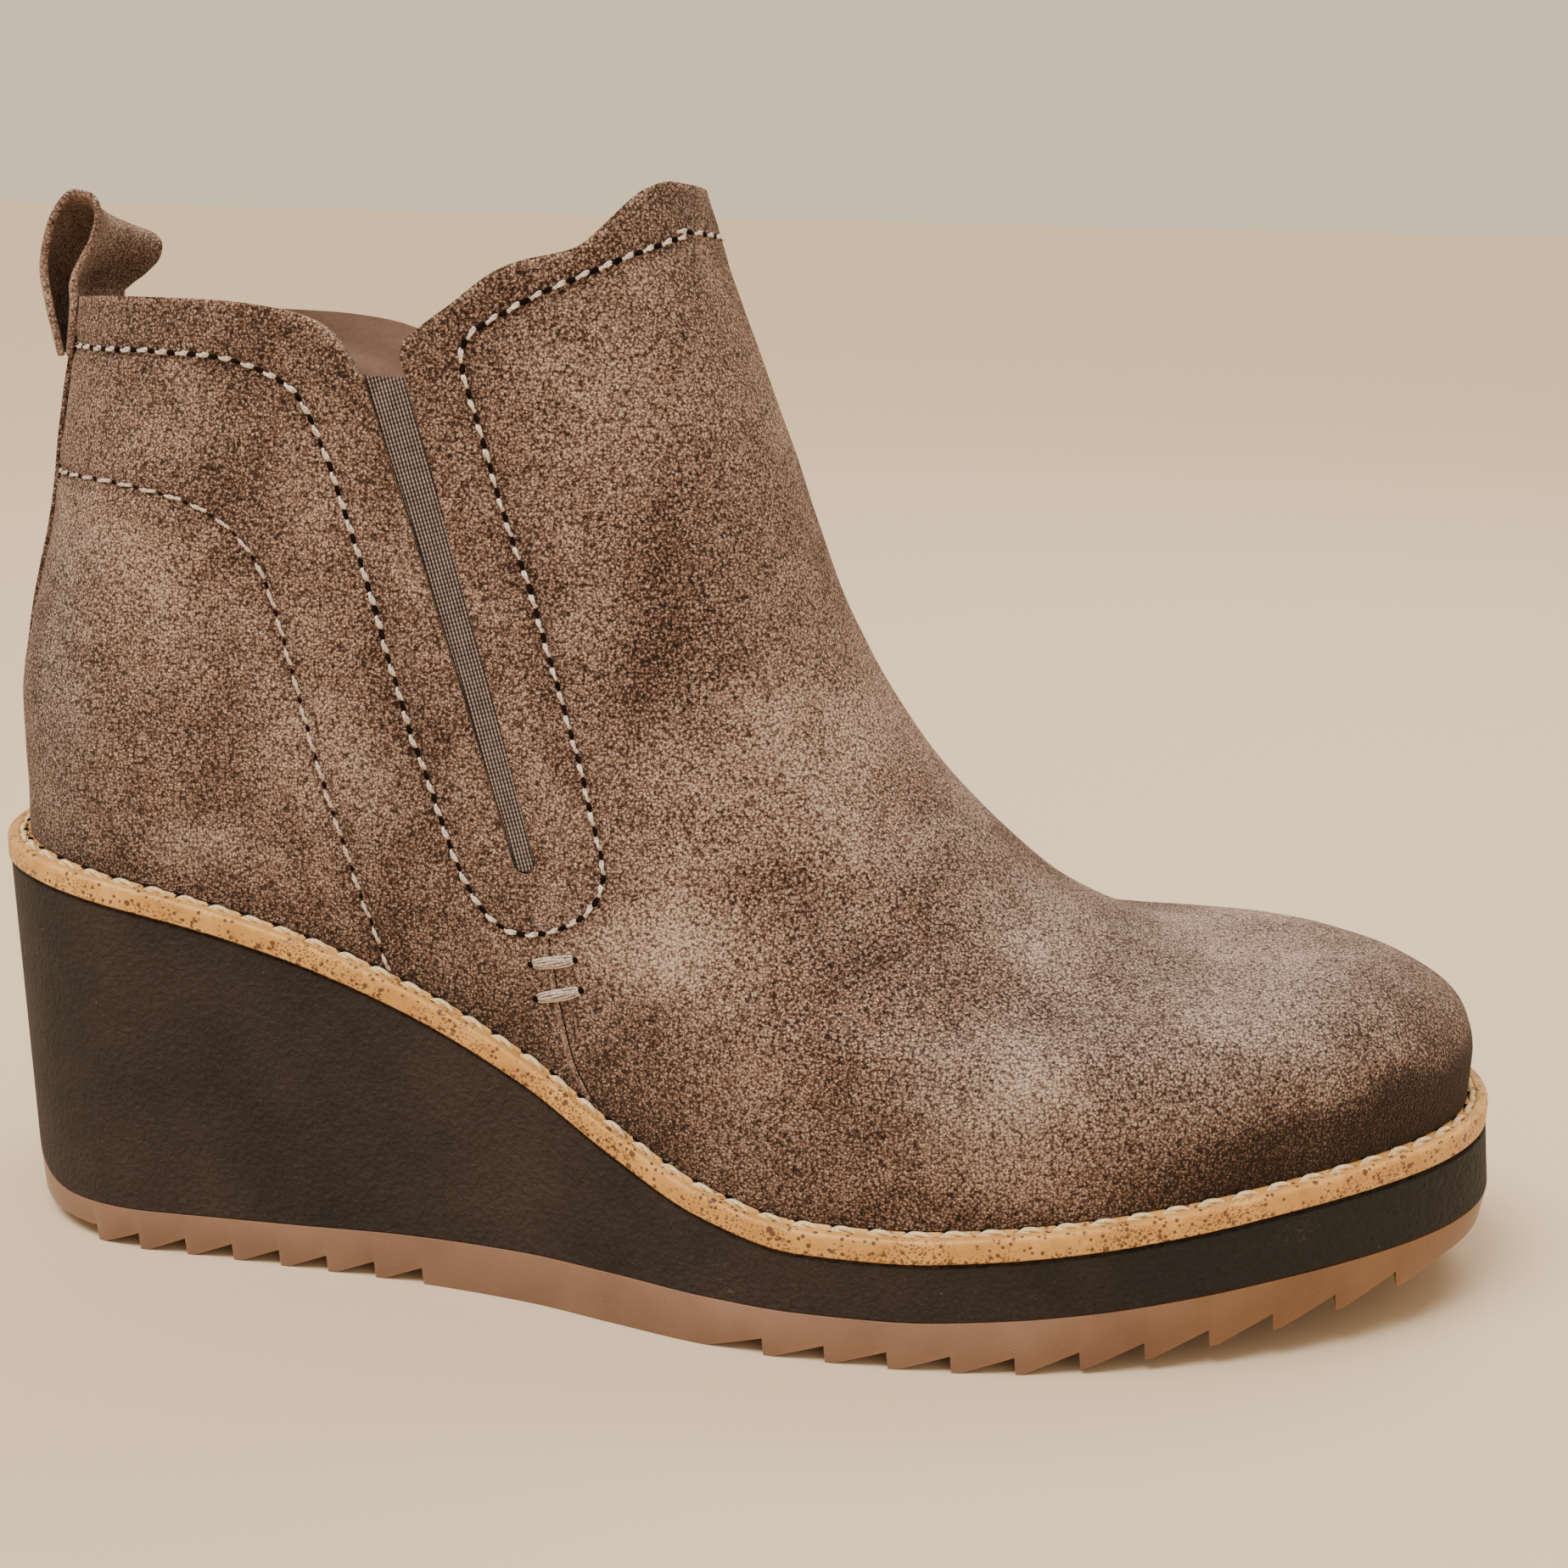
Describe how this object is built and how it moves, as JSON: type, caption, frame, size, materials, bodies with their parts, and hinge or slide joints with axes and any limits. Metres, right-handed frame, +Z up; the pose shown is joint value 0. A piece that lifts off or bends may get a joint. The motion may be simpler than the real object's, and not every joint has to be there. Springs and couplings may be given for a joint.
{
  "type": "wedge ankle boot",
  "caption": "Suede ankle boot with a dark wedge heel, stitched crepe welt, saw-tooth gum outsole, elastic side gores and a pull loop at the heel.",
  "frame": {"origin": "centre of the bounding box, on the floor", "axes": "+X towards the toe, -Y towards the outer side of the foot, +Z up"},
  "size_m": [0.2602, 0.0972, 0.1801],
  "materials": {
    "suede": "brushed nap, taupe brown, burnished darker at the toe",
    "foam": "matte dark brown EVA foam with a fine grain",
    "crepe": "honey crepe with dark specks, satin",
    "gum": "translucent gum rubber, satin",
    "elastic": "ribbed elastic webbing",
    "lining": "smooth tan leather"
  },
  "bodies": {
    "root": {"outsole": "gum", "wedge": "foam", "welt": "crepe", "insole": "lining", "upper": "suede", "gore_outer": "elastic", "gore_inner": "elastic", "pull_loop": "suede", "back_strap": "suede"}
  },
  "joints": []
}
